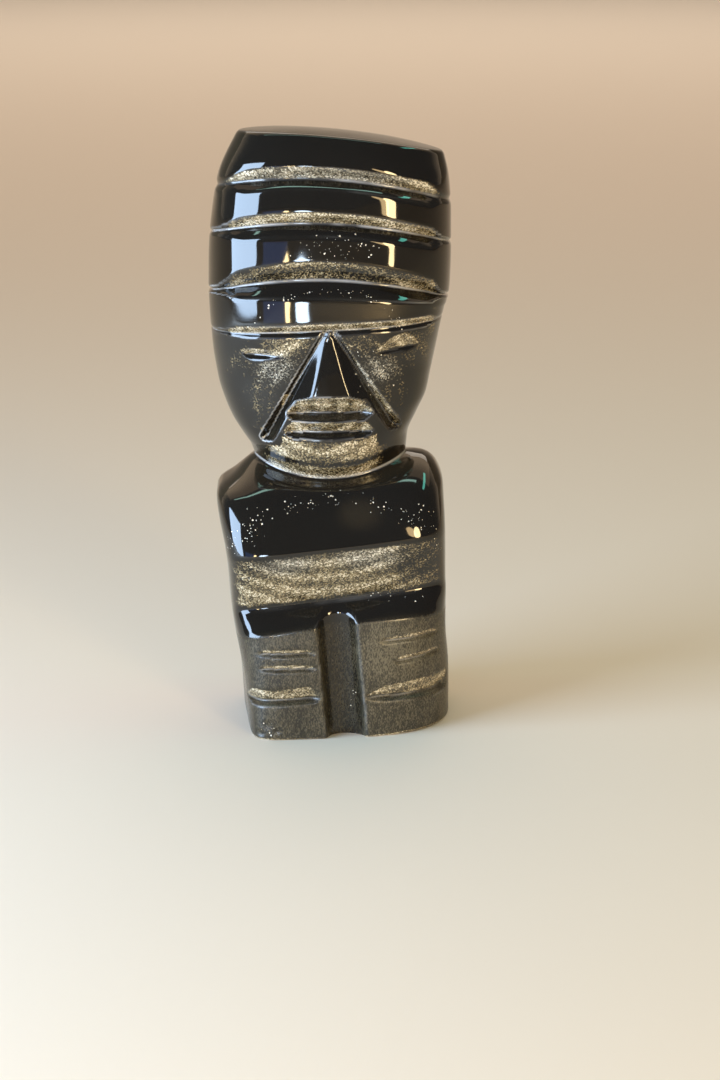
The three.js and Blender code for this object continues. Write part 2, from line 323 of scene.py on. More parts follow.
    def groove_depth(self, height: np.ndarray, angle: np.ndarray) -> np.ndarray:
        """Find how far the grooves reach in: deep across the front, faint round the sides, none behind.

        Args:
            height: Heights of the level cuts.
            angle: Directions, counted from +X.

        Returns:
            The depth below the skin at each place.
        """
        facing = np.cos(angle - FRONT)
        full = np.where(np.cos(angle) < 0, *self.fade_full)
        rise = np.clip((facing - self.fade_edge) / (full - self.fade_edge), 0.0, 1.0)
        across = rise * rise * (3.0 - 2.0 * rise)
        strength = self.across * across + (1 - self.across) * smoothstep(facing, self.behind, self.beside)
        depth = np.zeros(np.broadcast(height, angle).shape)
        for groove in self.grooves:
            depth += groove.depth * np.maximum(groove.share(height) - (1.0 - strength), 0.0)
        return depth

    def skin(
        self,
        height: np.ndarray,
        angle: np.ndarray,
        scale: np.ndarray | float = 1.0,
        inset: np.ndarray | float = 0.0,
    ) -> np.ndarray:
        """Place points on the block.

        Args:
            height: Heights of the level cuts.
            angle: Directions, counted from +X.
            scale: How far the level cuts are shrunk towards their middle.
            inset: How far they are set in.

        Returns:
            The points, with x, y and z along the last axis.
        """
        c, s = np.cos(angle), np.sin(angle)
        middle = self.widest(height)
        half = np.where(c < 0, self.left(height), self.right(height))
        reach = np.where(s < 0, self.front(height) + middle, self.back(height) - middle)
        corner_front = np.where(c < 0, self.corner_left(height), self.corner_right(height))
        corner = np.where(s > 0, self.corner_back(height), corner_front)
        edge = (np.abs(c / half) ** corner + np.abs(s / reach) ** corner) ** (-1.0 / corner)
        radius = (edge - self.groove_depth(height, angle) - inset) * scale
        turn = self.turn(height)
        x = radius * (c - turn * s)
        y = middle + radius * (s + turn * c)
        slope = self.slant(height) * x + self.arch(height) * (x / HALF_WIDTH) ** 2
        lift = slope - self.fall(height) * (y + self.front(height))
        return np.stack([x, y, height + lift], axis=-1)

    def front_skin(self, x: np.ndarray, z: np.ndarray) -> tuple[np.ndarray, np.ndarray]:
        """Find the points of the front at the given places, by halving the range of angles that holds them.

        Args:
            x: Places across the front.
            z: Heights.

        Returns:
            The points, and the level directions that look straight out of the skin there.
        """
        halvings, step = 40, 0.02
        height = z - self.slant(z) * x - self.arch(z) * (x / HALF_WIDTH) ** 2
        low = np.full(x.shape, FRONT - math.pi / 2)
        high = np.full(x.shape, FRONT + math.pi / 2)
        for _ in range(halvings):
            angle = (low + high) / 2
            before = self.skin(height, angle)[..., 0] < x
            low = np.where(before, angle, low)
            high = np.where(before, high, angle)
        point = self.skin(height, low)
        point[..., 2] = z
        along = self.skin(height, low + step) - self.skin(height, low - step)
        out = np.stack([along[..., 1], -along[..., 0], np.zeros(x.shape)], axis=-1)
        return point, out / np.linalg.norm(out, axis=-1, keepdims=True)


@dataclass(frozen=True)
class Cut:
    """A V groove ground into the front along a straight run, from left to right.

    Attributes:
        start: Where the run starts, across and up.
        end: Where it ends.
        depth: How far the V goes in, at the start and at the end.
        above: How far its upper wall reaches up from its bottom, at the start and at the end.
        below: How far its lower wall reaches down.
        ends: The share of the run over which it runs out at either end.
    """

    start: Pair
    end: Pair
    depth: Pair
    above: Pair
    below: Pair
    ends: Pair = (0.15, 0.15)

    def press(self, points: np.ndarray, facing: np.ndarray, block: Block) -> None:
        """Move the points of the front that the groove takes away onto its walls.

        Args:
            points: The stone's points, changed in place.
            facing: Which of them belong to the front.
            block: The block that the groove is ground into.
        """
        samples, blunt = 81, 0.001
        share = np.linspace(0.0, 1.0, samples)
        x = self.start[0] + (self.end[0] - self.start[0]) * share
        z = self.start[1] + (self.end[1] - self.start[1]) * share
        centre, out = block.front_skin(x, z)
        length = math.hypot(self.end[0] - self.start[0], self.end[1] - self.start[1])
        run = np.array([self.end[0] - self.start[0], 0.0, self.end[1] - self.start[1]]) / length
        upward = np.cross(out, run)
        upward /= np.linalg.norm(upward, axis=1, keepdims=True)
        rise = smoothstep(share, -blunt, max(self.ends[0], 0.0)) if self.ends[0] else np.ones(samples)
        drop = smoothstep(1 - share, -blunt, max(self.ends[1], 0.0)) if self.ends[1] else np.ones(samples)
        full = np.sqrt(np.minimum(rise, drop))

        along = (points - centre[0]) @ run / length
        near = facing & (along >= 0.0) & (along <= 1.0)
        here, place = points[near], along[near]

        def at(values: np.ndarray) -> np.ndarray:
            """Read values given along the run at each near point."""
            return np.interp(place, share, values)

        base = np.stack([at(centre[:, k]) for k in range(3)], axis=1)
        outward = np.stack([at(out[:, k]) for k in range(3)], axis=1)
        across = np.stack([at(upward[:, k]) for k in range(3)], axis=1)
        offset = here - base
        side = np.sum(offset * across, axis=1)
        height = np.sum(offset * outward, axis=1)
        depth = self.depth[0] + (self.depth[1] - self.depth[0]) * place
        above = self.above[0] + (self.above[1] - self.above[0]) * place
        below = self.below[0] + (self.below[1] - self.below[0]) * place
        wall = depth * (np.abs(side) / np.where(side > 0, above, below) - at(full))
        points[near] = here - outward * np.maximum(height - wall, 0.0)[:, None]


@dataclass(frozen=True)
class Nose:
    """The wedge of the nose: flush under the brow, proud over the mouth, with a sloping underside."""

    top: float = 82.0
    base: float = 69.3
    under: float = 66.1
    half_width: float = 7.1
    tip: float = 16.4
    wing: float = 16.2
    root: float = 15.3
    inside: float = 8.0

    def raise_from(self, points: np.ndarray, facing: np.ndarray) -> None:
        """Bring the points under the nose forward onto its faces.

        Args:
            points: The stone's points, changed in place.
            facing: Which of them belong to the front.
        """
        x, z = np.abs(points[..., 0]), points[..., 2]
        down = np.clip((self.top - z) / (self.top - self.base), 0.0, 1.0)
        flank = (self.tip - self.wing) * x / self.half_width
        proud = self.root + down * (self.tip - self.root) - flank
        shelf = self.inside + (z - self.under) / (self.base - self.under) * (self.tip - flank - self.inside)
        reach = np.where(z < self.base, shelf, proud)
        inside = facing & (x <= self.half_width * down) & (z <= self.top) & (z >= self.under)
        points[..., 1] = np.where(inside, np.minimum(points[..., 1], -reach), points[..., 1])


@dataclass(frozen=True)
class Trough:
    """The trough between the legs, with a steep left wall and a gentler right one."""

    top: Pair = (1.2, 27.0)
    foot: Pair = (3.5, -1.0)
    half_width: float = 3.8
    depth: float = 3.1
    axis: float = LEG_FRONT + 0.2

    def press(self, points: np.ndarray, facing: np.ndarray) -> None:
        """Push the points of the front between the legs back onto the trough's wall.

        Args:
            points: The stone's points, changed in place.
            facing: Which of them belong to the front.
        """
        run = np.array([self.top[0] - self.foot[0], self.top[1] - self.foot[1]])
        run /= np.hypot(*run)
        offset = points[..., [0, 2]] - np.array(self.foot)
        side = offset[..., 0] * run[1] - offset[..., 1] * run[0]
        share = np.clip(np.abs(side) / self.half_width, 0.0, 1.0)
        wall = -self.axis + self.depth * np.sqrt(1.0 - share**2)
        inside = facing & (share < 1.0) & (points[..., 2] < self.top[1])
        points[..., 1] = np.where(inside, np.maximum(points[..., 1], wall), points[..., 1])


@dataclass(frozen=True)
class Chip:
    """A shallow shell-shaped chip on the front: its middle, its radius and its depth."""

    centre: Pair
    radius: float
    depth: float

    def press(self, points: np.ndarray, normals: np.ndarray, facing: np.ndarray) -> None:
        """Dent the points inside the chip along the normals.

        Args:
            points: The stone's points, changed in place.
            normals: The stone's normals.
            facing: Which of the points belong to the front.
        """
        distance = np.hypot(points[..., 0] - self.centre[0], points[..., 2] - self.centre[1]) / self.radius
        dent = np.where(facing, np.maximum(1.0 - distance**2, 0.0), 0.0) * self.depth
        points -= normals * dent[..., None]


@dataclass(frozen=True)
class Layout:
    """Where each finish of the stone lies, and where sheen, reflections, highlights and shade are painted on it.

    Attributes:
        sheen_wall: How far a face must look down for the sheen to start and to be full.
        head_span: On the head, where the sheen of the grooves starts and is full, from the left and the right.
        mouth_span: The same beside the mouth.
        chin_span: The same on the chin.
        cheeks: Where the sheen shows on the cheeks.
        silver: Where the sheen is silver.
        dim: Where it is weak.
        haze: Where reflections and a faint sheen are painted in grey-brown: the brow, the right shoulder and the right
            leg, whose satin it lightens.
        flank: How strong the brown reflection painted on the sides is.
        flecks: Where single pale flecks lie.
        trough: The middle of the trough at the knees, and how far it moves sideways for each millimetre down.
        trough_side: How far from there its shade is full, and where it ends.
        crease: The bend, in radians for each millimetre, at which an edge starts to glint, and glints fully.
    """

    sheen_wall: Pair = (0.16, 0.34)
    head_span: tuple[Pair, Pair] = ((-21.0, -18.5), (20.0, 22.0))
    mouth_span: tuple[Pair, Pair] = ((-16.0, -14.5), (12.5, 14.5))
    chin_span: tuple[Pair, Pair] = ((-14.5, -10.5), (8.5, 12.5))
    cheeks: tuple[Spot, ...] = (
        Spot((-8.0, 80.2), (7.5, 4.0), 0.78),
        Spot((-10.0, 75.0), (6.6, 5.0), 0.62),
        Spot((-13.6, 69.0), (4.6, 6.5), 0.42),
        Spot((6.8, 80.6), (6.5, 3.6), 0.5),
        Spot((9.6, 75.2), (6.0, 4.4), 0.66),
        Spot((12.2, 70.0), (5.0, 6.0), 0.24),
    )
    silver: tuple[Spot, ...] = (
        Spot((-9.8, 74.5), (7.0, 5.0), 1.0),
        Spot((9.5, 74.5), (7.0, 5.0), 1.0),
        Spot((-2.0, 112.2), (26.0, 4.0), 0.6),
        Spot((-9.0, 36.5), (9.0, 4.0), 0.8),
        Spot((8.0, 37.5), (12.0, 4.0), 0.7),
    )
    dim: tuple[Spot, ...] = (
        Spot((19.0, 36.0), (9.0, 9.0), 0.5),
        Spot((-19.0, 36.0), (12.0, 8.0), 0.3),
        Spot((0.0, 35.5), (40.0, 8.0), 0.1),
        Spot((-1.0, 56.0), (15.0, 4.0), 0.2),
        Spot((0.0, 93.6), (40.0, 3.4), 0.5),
    )
    haze: tuple[Spot, ...] = (
        Spot((6.0, 87.0), (12.0, 3.5), 0.12),
        Spot((6.0, 46.0), (6.0, 4.0), 0.15),
        Spot((14.0, 18.0), (12.0, 8.0), 1.0),
    )
    flecks: tuple[Spot | Arc, ...] = (
        Spot((1.5, 98.5), (11.0, 4.0), 1.0),
        Arc((-0.5, 81.5), (15.0, 9.0), 0.06, 0.9),
        Arc((1.0, 35.5), (22.0, 13.0), 0.07, 0.7),
        Spot((-15.0, 43.5), (3.5, 4.5), 0.5),
        Spot((17.5, 45.5), (4.0, 3.0), 0.5),
        Spot((9.0, 74.0), (6.0, 6.0), 0.4),
        Spot((12.0, 28.0), (9.0, 1.6), 0.5),
        Spot((4.4, 8.5), (1.5, 4.0), 0.4),
        Spot((-12.3, 2.8), (3.2, 2.2), 0.9),
    )
    flank: float = 0.35
    trough: Pair = (1.5, 0.082)
    trough_side: Pair = (2.9, 3.9)
    crease: Pair = (0.5, 1.5)

    @staticmethod
    def between(x: np.ndarray, span: tuple[Pair, Pair]) -> np.ndarray:
        """Give 1 between the two ends of a span across the front, falling softly to 0 outside it."""
        return smoothstep(x, *span[0]) * (1.0 - smoothstep(x, *span[1]))

    @staticmethod
    def bend(points: np.ndarray, normals: np.ndarray) -> np.ndarray:
        """Find how sharply the stone bends along its edges and creases.

        Args:
            points: The stone's points.
            normals: Their normals.

        Returns:
            The bend in radians for each millimetre, and 0 beside the sharpest line of an edge.
        """
        sharpest = np.zeros(points.shape[:2])
        for axis in (0, 1):
            turned = np.linalg.norm(np.roll(normals, -1, axis) - np.roll(normals, 1, axis), axis=-1)
            apart = np.linalg.norm(np.roll(points, -1, axis) - np.roll(points, 1, axis), axis=-1)
            bend = turned / np.maximum(apart, 0.15)
            crest = (bend >= np.roll(bend, 1, axis)) & (bend > np.roll(bend, -1, axis))
            sharpest = np.maximum(sharpest, np.where(crest, bend, 0.0))
        return sharpest

    def __call__(self, points: np.ndarray, normals: np.ndarray, level: np.ndarray) -> dict[Zone, np.ndarray]:
        """Say how much of each finish each point has.

        Args:
            points: The stone's points.
            normals: Their normals.
            level: The height of the level cut that each belongs to.

        Returns:
            For each zone, a number from 0 to 1 at each point.
        """
        x, z = points[..., 0], points[..., 2]
        down = -normals[..., 2]
        facing = smoothstep(-normals[..., 1], -0.1, 0.4)
        # Painted sheen: gold where the faces look down, narrowed on the head, beside the mouth and on the chin, and
        # kept off the walls of the cuts beside the nose.
        walls = smoothstep(down, *self.sheen_wall)
        walls *= np.where(level > 72.0, self.between(x, self.head_span), 1.0)
        walls *= np.where((level > CHIN + 6.0) & (level <= 72.0), self.between(x, self.mouth_span), 1.0)
        chin = (level > NECK) & (level <= CHIN + 6.0)
        # Painted dark reflection: the chin's sheen stops in a thin black line just above the chin's lower edge.
        fold = 1.0 - 0.85 * np.exp(-(((level - CHIN - 1.0) / 0.55) ** 2))
        low_chin = smoothstep(down, 0.02, 0.2) * self.between(x, self.chin_span) * fold
        walls = np.where(chin, low_chin, walls)
        beyond_nose = smoothstep(np.abs(x) - 0.574 * (81.8 - z), 1.7, 2.4)
        cut = (z > 59.0) & (z < 81.8) & (np.abs(x) > 0.574 * (81.8 - z) - 3.2) & (np.abs(x) < 14.5)
        mouth = (z < 69.6) & (np.abs(x) < 9.4)
        walls = np.where(cut & ~mouth, walls * beyond_nose, walls)
        cheeks = sum(spot(x, z) for spot in self.cheeks) * beyond_nose * smoothstep(down, 0.0, 0.1)
        # Painted shade: the satin darkens down the trough between the legs.
        between_legs = np.abs(x - self.trough[0] - self.trough[1] * (KNEES - z))
        shade = 1.0 - 0.6 * (1.0 - smoothstep(between_legs, *self.trough_side))
        dim = 1.0 - sum(spot(x, z) for spot in self.dim)
        # Painted shade: the left leg's satin is darker than the right leg's.
        left_leg_shade = 1.0 - 0.28 * (1.0 - smoothstep(x, -4.0, 6.0))
        # Painted reflection: brown on the sides above the legs.
        sides = self.flank * (1.0 - smoothstep(-normals[..., 1], 0.2, 0.75)) * smoothstep(level, KNEES, WAIST)
        # Painted highlights along the sharpest edges: weaker on the legs, and weakest on the right of the face, which
        # lies in shade.
        unlit = np.where(level < KNEES, 0.3, np.where((x > 0.5) & (z > 60.0) & (z < 81.0), 0.25, 1.0))
        values = {
            Zone.SHEEN: np.clip(walls + cheeks, 0.0, 1.0) * dim * facing,
            Zone.SATIN: (1.0 - smoothstep(level, KNEES - 0.9, KNEES + 0.3)) * (0.35 + 0.65 * facing) * shade * left_leg_shade,
            Zone.HAZE: sum(spot(x, z) for spot in self.haze) * facing + sides,
            Zone.FLECKS: sum(spot(x, z) for spot in self.flecks) * facing,
            Zone.SILVER: sum(spot(x, z) for spot in self.silver),
            Zone.GLINT: smoothstep(self.bend(points, normals), *self.crease) * facing * unlit,
        }
        return {zone: np.clip(value, 0.0, 1.0) for zone, value in values.items()}


@dataclass
class StoneFigure:
    """The whole figure: one polished stone.

    Attributes:
        block: The block that everything is ground into.
        nose: The wedge of the nose.
        trough: The trough between the legs.
        cuts: The cuts that free the nose, the lips, the eyes and the lines on the legs.
        chips: Small chips in the edges.
        layout: Where each finish lies.
        columns: How many points a level cut has.
        back_share: How dense these are at the back, against the front.
        rim: Radius of the edge round the top.
        bevel: Radius of the edge round the underside.
        dome: How far the top rises towards its middle.
        polish: How many rounds of polishing soften the edges.
        waviness: How far hand polishing leaves the faces out of true.
        steps: The step between level cuts, in millimetres, for each stretch of the height.
        shift: The level move from the stone's own axes to the frame, known once it is built.
    """

    block: Block = field(default_factory=Block)
    nose: Nose = field(default_factory=Nose)
    trough: Trough = field(default_factory=Trough)
    cuts: tuple[Cut, ...] = (
        Cut((-13.8, 59.9), (-0.9, 82.4), (2.1, 0.7), (0.5, 0.25), (3.0, 0.8), (0.06, 0.0)),
        Cut((0.9, 82.4), (14.2, 62.2), (0.7, 2.1), (0.25, 0.5), (0.8, 3.0), (0.0, 0.06)),
        Cut((-8.9, 65.7), (8.7, 65.9), (2.3, 2.3), (1.7, 1.7), (1.5, 1.5)),
        Cut((-9.2, 61.9), (8.8, 62.1), (1.5, 1.5), (1.9, 1.9), (1.4, 1.4)),
        Cut((-17.4, 77.9), (-8.0, 77.5), (1.2, 0.6), (0.6, 0.5), (2.2, 1.0), (0.3, 0.6)),
        Cut((8.8, 78.0), (17.4, 79.2), (0.6, 1.0), (1.3, 2.0), (0.6, 0.8), (0.6, 0.35)),
        Cut((-14.6, 17.8), (-2.6, 18.0), (0.6, 0.6), (0.9, 0.9), (0.6, 0.6)),
        Cut((-14.2, 14.7), (-2.6, 14.8), (0.6, 0.6), (0.9, 0.9), (0.6, 0.6)),
        Cut((-17.0, 7.6), (-1.8, 8.5), (1.4, 1.2), (3.0, 3.2), (0.7, 0.7)),
        Cut((10.0, 20.0), (22.0, 20.6), (0.6, 0.6), (0.9, 0.9), (0.6, 0.6)),
        Cut((13.0, 15.6), (22.3, 16.6), (0.6, 0.7), (0.9, 0.9), (0.6, 0.6)),
        Cut((6.6, 8.4), (23.9, 8.0), (0.9, 1.5), (2.6, 3.2), (0.8, 0.8), (0.3, 0.02)),
    )
    chips: tuple[Chip, ...] = (
        Chip((-12.5, 3.2), 1.1, 0.18),
        Chip((-10.6, 2.0), 0.8, 0.15),
        Chip((-14.0, 1.4), 0.9, 0.2),
        Chip((-19.0, 89.6), 0.8, 0.25),
    )
    layout: Layout = field(default_factory=Layout)
    columns: int = 286
    back_share: float = 0.33
    rim: float = 0.6
    bevel: float = 0.7
    dome: float = 0.35
    polish: int = 2
    waviness: float = 0.03
    steps: tuple[tuple[float, float, float], ...] = (
        (0.0, KNEES, 0.295),
        (KNEES, 46.0, 0.65),
        (46.0, CHIN, 0.45),
        (CHIN, BROW, 0.3),
        (BROW, 121.0, 0.44),
    )
    shift: np.ndarray = field(default_factory=lambda: np.zeros(3))

    def angles(self) -> np.ndarray:
        """Spread the columns round the stone, closer together across the front.

        Returns:
            The columns' directions, from the middle of the front round to it again.
        """
        level, samples = 92.0, 4001
        angle = FRONT + np.linspace(0.0, 2.0 * math.pi, samples)
        ring = self.block.skin(np.full(samples, level), angle)
        lengths = np.linalg.norm(np.diff(ring, axis=0), axis=1)
        facing = np.cos((angle[1:] + angle[:-1]) / 2 - FRONT)
        weight = self.back_share + (1.0 - self.back_share) * smoothstep(facing, -0.1, 0.35)
        travelled = np.concatenate([[0.0], np.cumsum(lengths * weight)])
        even = np.linspace(0.0, travelled[-1], self.columns, endpoint=False)
        return np.interp(even, travelled, angle)

    def rows(self) -> tuple[np.ndarray, np.ndarray, np.ndarray]:
        """Lay out the level cuts from the middle of the underside to the middle of the top.

        Returns:
            Their heights, how far each is shrunk, and how far each is set in.
        """
        rounding, caps = 7, 9
        quarter = np.linspace(0.0, math.pi / 2, rounding)
        creases = [KNEES, WAIST, RIDGE, NECK, CHIN]
        for groove in self.block.grooves:
            creases += [groove.upper, groove.valley, groove.lower]
        edges = sorted([self.bevel, CROWN - self.rim, *creases])
        sides = [edges[0]]
        for low, high in zip(edges[:-1], edges[1:]):
            step = next(size for start, end, size in self.steps if start <= (low + high) / 2 < end)
            sides += list(np.linspace(low, high, max(1, math.ceil((high - low) / step)) + 1)[1:])
        shrink = np.linspace(0.0, 1.0, caps + 1)[1:-1]
        heights = np.concatenate([
            np.zeros(caps - 1),
            self.bevel * (1.0 - np.cos(quarter))[:-1],
            sides,
            CROWN - self.rim * (1.0 - np.sin(quarter))[1:],
            CROWN + self.dome * (1.0 - shrink[::-1] ** 2),
        ])
        scale = np.concatenate([
            shrink, np.ones(rounding - 1), np.ones(len(sides)), np.ones(rounding - 1), shrink[::-1],
        ])
        inset = np.concatenate([
            np.full(caps - 1, self.bevel),
            self.bevel * (1.0 - np.sin(quarter))[:-1],
            np.zeros(len(sides)),
            self.rim * (1.0 - np.cos(quarter))[1:],
            np.full(caps - 1, self.rim),
        ])
        return heights, scale, inset

    @staticmethod
    def normals(grid: np.ndarray) -> np.ndarray:
        """Find the outward normals of a grid of points, in rows from the bottom and columns round the stone."""
        around = np.roll(grid, -1, axis=1) - np.roll(grid, 1, axis=1)
        upward = np.gradient(grid, axis=0)
        normal = np.cross(around, upward)
        return normal / np.maximum(np.linalg.norm(normal, axis=-1, keepdims=True), 1e-9)

    def soften(self, grid: np.ndarray) -> np.ndarray:
        """Round the edges as polishing does, by moving each point towards the middle of its neighbours.

        Args:
            grid: The stone's points, in rows and columns.

        Returns:
            The softened points.
        """
        for _ in range(self.polish):
            round_about = (np.roll(grid, 1, axis=1) + np.roll(grid, -1, axis=1)) / 2
            padded = np.concatenate([grid[:1], grid, grid[-1:]])
            up_down = (padded[:-2] + padded[2:]) / 2
            grid = grid / 2 + (round_about + up_down) / 4
        return grid

    def ripple(self, grid: np.ndarray) -> np.ndarray:
        """Give the slow waves of hand polishing, as a height over the skin at each point."""
        waves = (
            ((0.31, 0.17, 0.23), 0.4), ((-0.21, 0.27, 0.47), 1.9), ((0.13, -0.37, -0.71), 3.3),
            ((0.57, 0.19, 0.11), 5.1), ((-0.43, 0.11, 0.61), 2.6),
        )
        total = sum(np.sin(grid @ np.array(direction) + phase) for direction, phase in waves)
        return self.waviness * total / len(waves)

    def grid(self) -> tuple[np.ndarray, np.ndarray, np.ndarray]:
        """Work out the stone's points.

        Returns:
            The points and their normals, as rows of columns of x, y and z, and the height of each one's level cut.
        """
        heights, scale, inset = (values[:, None] for values in self.rows())
        angle = self.angles()[None, :]
        heights, angle = np.broadcast_arrays(heights, angle)
        points = self.block.skin(heights, angle, scale, inset)
        facing = np.cos(angle - FRONT) > 0.05
        self.nose.raise_from(points, facing)
        for cut in self.cuts:
            cut.press(points, facing, self.block)
        self.trough.press(points, facing)
        points = self.soften(points)
        normals = self.normals(points)
        points = points + normals * self.ripple(points)[..., None]
        for chip in self.chips:
            chip.press(points, normals, facing)
        flat = heights <= 0.0
        points[..., 2] = np.where(flat, 0.0, np.maximum(points[..., 2], 0.0))
        return points, self.normals(points), heights

    def build(self, material: bpy.types.Material) -> bpy.types.Object:
        """Make the stone, in the place of its solid.

        Args:
            material: The finish of the stone.

        Returns:
            The stone, at its real size and with its place in its mesh.
        """
        grid, normals, heights = self.grid()
        rows, columns = grid.shape[:2]
        count = rows * columns
        row, column = np.meshgrid(np.arange(rows - 1), np.arange(columns), indexing="ij")
        beside = (column + 1) % columns
        first, second = row * columns + column, row * columns + beside
        quads = np.stack([first, second, second + columns, first + columns], axis=-1).reshape(-1, 4)
        ring = np.arange(columns)
        under = np.stack([np.full(columns, count), (ring + 1) % columns, ring], axis=1)
        last = (rows - 1) * columns
        over = np.stack([np.full(columns, count + 1), last + ring, last + (ring + 1) % columns], axis=1)
        poles = np.stack([grid[0].mean(axis=0), grid[-1].mean(axis=0)])
        points = np.concatenate([grid.reshape(-1, 3), poles])

        mesh = bpy.data.meshes.new(NODE)
        faces = quads.tolist() + under.tolist() + over.tolist()
        self.shift = self.over_solid(points)
        mesh.from_pydata(((points + self.shift) * MM).tolist(), [], faces)
        mesh.polygons.foreach_set("use_smooth", np.ones(len(faces), bool))
        for zone, values in self.layout(grid, normals, heights).items():
            attribute = mesh.attributes.new(zone.value, "FLOAT", "POINT")
            attribute.data.foreach_set("value", np.append(values.ravel(), [0.0, 0.0]).astype(np.float32))
        mesh.materials.append(material)
        mesh.update()
        piece = bpy.data.objects.new(NODE + "_polished", mesh)
        bpy.context.scene.collection.objects.link(piece)
        log.info("%s: %d points, %d faces", piece.name, len(points), len(faces))
        return piece

    @staticmethod
    def over_solid(points: np.ndarray) -> np.ndarray:
        """Find the level move that brings the middle of the stone over the middle of its solid."""
        low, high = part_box(NODE)
        middle = (np.array(low) + np.array(high)) / 2 / MM
        move = middle - (points.min(axis=0) + points.max(axis=0)) / 2
        move[2] = 0.0
        return move


class Graph:
    """A node tree, with short calls that add nodes and wire them up."""

    def __init__(self, tree: bpy.types.NodeTree) -> None:
        """Start with an empty tree."""
        self.tree = tree
        tree.nodes.clear()

    def add(self, kind: str, inputs: dict | None = None, **settings: object) -> bpy.types.Node:
        """Add a node.

        Args:
            kind: The node's type.
            inputs: For each of its sockets, by name or number, a value or the socket it is wired to.
            settings: The node's own settings.

        Returns:
            The node.
        """
        node = self.tree.nodes.new(kind)
        for name, value in settings.items():
            setattr(node, name, value)
        for socket, value in (inputs or {}).items():
            self.feed(node.inputs[socket], value)
        return node

    def feed(self, socket: bpy.types.NodeSocket, value: object) -> None:
        """Wire a socket to another, or set it to a value."""
        if isinstance(value, bpy.types.NodeSocket):
            self.tree.links.new(value, socket)
        else:
            socket.default_value = value

    def math(self, operation: str, *values: object, clamp: bool = False) -> bpy.types.NodeSocket:
        """Add a Math node and give its result."""
        inputs = dict(enumerate(values))
        return self.add("ShaderNodeMath", inputs, operation=operation, use_clamp=clamp).outputs[0]

    def mix(self, factor: object, first: object, second: object) -> bpy.types.NodeSocket:
        """Mix two colours and give the result."""
        inputs = {0: factor, 6: first, 7: second}
        return self.add("ShaderNodeMix", inputs, data_type="RGBA").outputs[2]

    def ramp(self, value: object, stops: Iterable[tuple[float, Colour]]) -> bpy.types.NodeSocket:
        """Map a value to colours through stops, and give the colour."""
        node = self.add("ShaderNodeValToRGB", {"Fac": value})
        elements = node.color_ramp.elements
        for index, (place, colour) in enumerate(stops):
            element = elements[index] if index < 2 else elements.new(place)
            element.position = place
            element.color = (*colour, 1.0)
        return node.outputs["Color"]

    def group(self, tree: bpy.types.NodeTree, inputs: dict) -> bpy.types.NodeSocket:
        """Place a node group with its own values, and give its first output."""
        node = self.add("ShaderNodeGroup", node_tree=tree)
        for name, value in inputs.items():
            self.feed(node.inputs[name], value)
        return node.outputs[0]

    def attribute(self, zone: Zone) -> bpy.types.NodeSocket:
        """Read one of the mesh's zones."""
        node = self.add("ShaderNodeAttribute", attribute_name=zone.value)
        return node.outputs["Fac"]


def node_group(name: str, inputs: dict[str, str], outputs: dict[str, str]) -> tuple[Graph, dict, dict]:
    """Start a shader node group.

    Args:
        name: Its name.
        inputs: Its inputs' names and socket types.
        outputs: Its outputs' names and socket types.

    Returns:
        The group's graph, the sockets that bring its inputs in, and the sockets that take its outputs.
    """
    tree = bpy.data.node_groups.new(name, "ShaderNodeTree")
    for label, kind in inputs.items():
        tree.interface.new_socket(label, in_out="INPUT", socket_type=kind)
    for label, kind in outputs.items():
        tree.interface.new_socket(label, in_out="OUTPUT", socket_type=kind)
    graph = Graph(tree)
    entry = graph.add("NodeGroupInput")
    end = graph.add("NodeGroupOutput")
    return graph, entry.outputs, end.inputs


@dataclass(frozen=True)
class MineralGrain:
    """The bubbles and crystals in the glass: hard little grains, gathered in clouds.

    Attributes:
        name: The node group's name.
    """

    name: str = "mineral_grain"

    def make(self) -> bpy.types.NodeTree:
        """Build the node group.

        Returns:
            A group with the inputs Vector, Grain size, Cloud size and Share, which is how many of the grains
            show, and the output Grain from 0 to 1.
        """
        sockets = {"Vector": "NodeSocketVector"}
        sockets.update(dict.fromkeys(("Grain size", "Cloud size", "Share"), "NodeSocketFloat"))
        graph, entry, end = node_group(self.name, sockets, {"Grain": "NodeSocketFloat"})
        fine = graph.math("DIVIDE", 1.0, entry["Grain size"])
        broad = graph.math("DIVIDE", 1.0, entry["Cloud size"])
        cells = graph.add("ShaderNodeTexVoronoi", {"Vector": entry["Vector"], "Scale": fine})
        draws = graph.add("ShaderNodeSeparateColor", {0: cells.outputs["Color"]}).outputs
        shown = graph.math("LESS_THAN", draws[1], entry["Share"])
        noise = {"Vector": entry["Vector"], "Scale": fine, "Detail": 2.0, "Roughness": 0.6}
        soft = graph.add("ShaderNodeTexNoise", noise).outputs[0]
        clouds = {"Vector": entry["Vector"], "Scale": broad, "Detail": 3.0, "Roughness": 0.6}
        cloud = graph.add("ShaderNodeTexNoise", clouds).outputs[0]
        grain = graph.math("ADD", graph.math("MULTIPLY", draws[0], 0.68), graph.math("MULTIPLY", soft, 0.32))
        spread = graph.math("MULTIPLY", graph.math("SUBTRACT", cloud, 0.5), 0.7)
        graph.feed(end["Grain"], graph.math("MULTIPLY", graph.math("ADD", grain, spread, clamp=True), shown))
        return graph.tree


